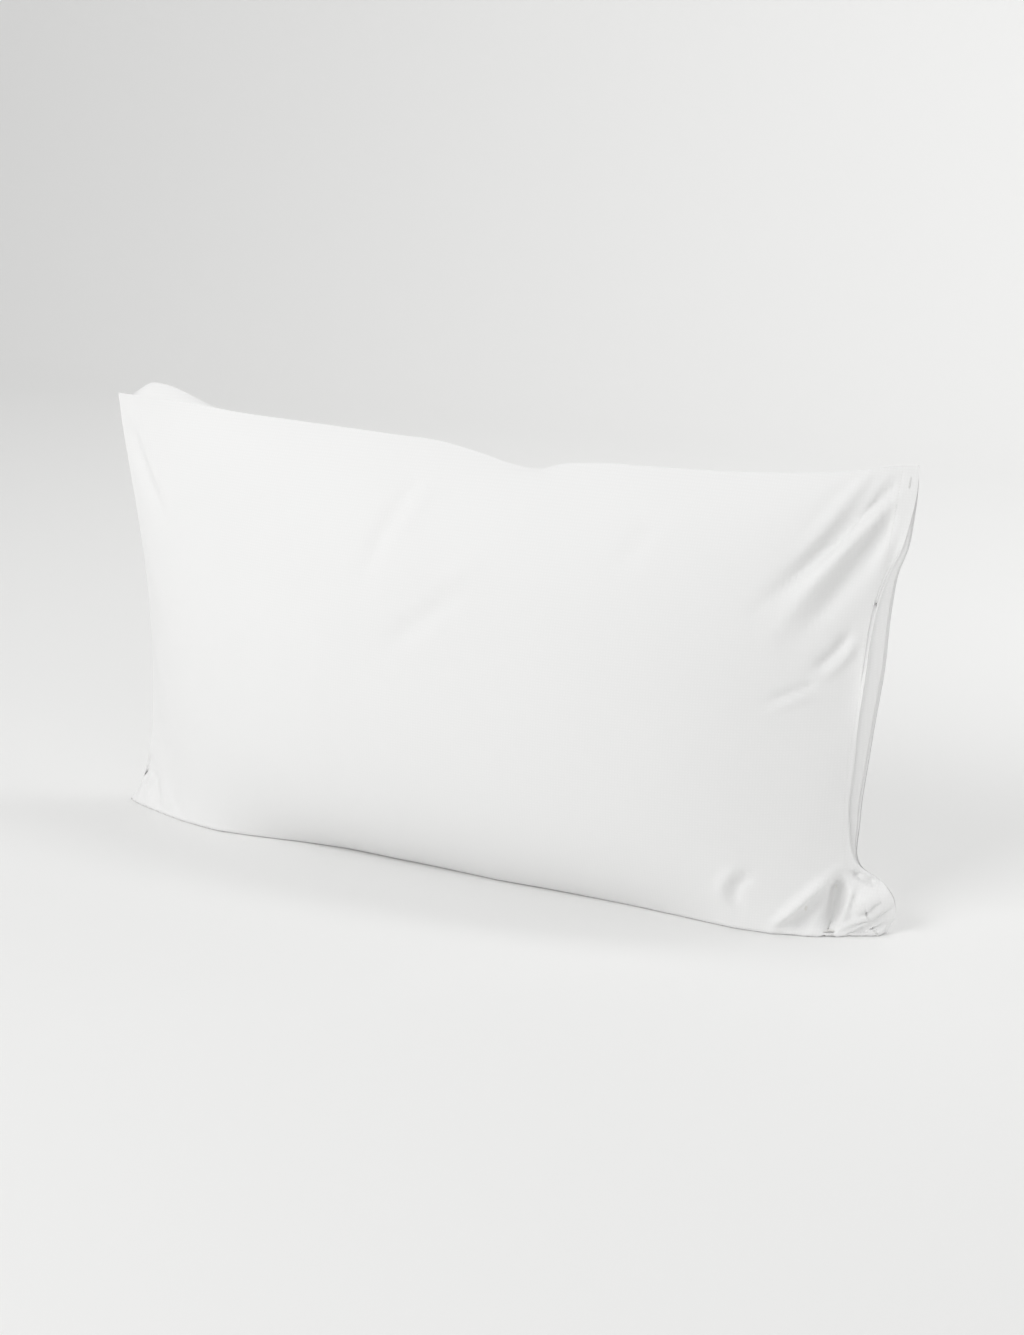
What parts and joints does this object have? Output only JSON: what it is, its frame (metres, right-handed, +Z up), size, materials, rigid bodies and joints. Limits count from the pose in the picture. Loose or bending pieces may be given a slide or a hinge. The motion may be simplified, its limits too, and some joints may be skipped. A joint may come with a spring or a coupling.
{
  "type": "bed pillow in a pillowcase",
  "caption": "Filled bed pillow in an envelope-closed cotton case, standing on one long edge; the insert slides out of the case's mouth.",
  "frame": {"origin": "on the floor, at the middle of the long edge that the pillow stands on, under its middle plane", "axes": "+X along the long axis towards the case's mouth, -Y out of the front face, +Z up"},
  "size_m": [0.884, 0.1872, 0.47],
  "materials": {
    "cotton": "matte",
    "ticking": "matte",
    "thread": "satin",
    "piping_core": "matte",
    "label_tape": "satin",
    "fill": "matte"
  },
  "bodies": {
    "case": {"case_front_panel": "cotton", "case_back_panel": "cotton", "case_mouth_hem": "cotton", "mouth_hem_thread": "thread", "tuck_flap": "cotton", "flap_hem_thread": "thread", "case_top_seam_thread": "thread", "case_bottom_seam_thread": "thread", "case_end_seam_thread": "thread", "mouth_bar_tacks": "thread", "case_care_label": "label_tape"},
    "insert": {"ticking_front_panel": "ticking", "ticking_back_panel": "ticking", "piping_strip": "ticking", "piping_cord": "piping_core", "ticking_seam_thread": "thread", "ticking_closing_thread": "thread", "fill": "fill", "insert_care_label": "label_tape"}
  },
  "joints": [
    {"name": "insert_slide", "type": "slide", "parent": "case", "child": "insert", "axis": [1, 0, 0], "range_m": [0, 0.87], "deforming": ["case_front_panel", "case_back_panel", "case_mouth_hem", "mouth_hem_thread", "tuck_flap", "flap_hem_thread", "case_top_seam_thread", "case_bottom_seam_thread", "case_end_seam_thread", "mouth_bar_tacks", "case_care_label"]}
  ]
}
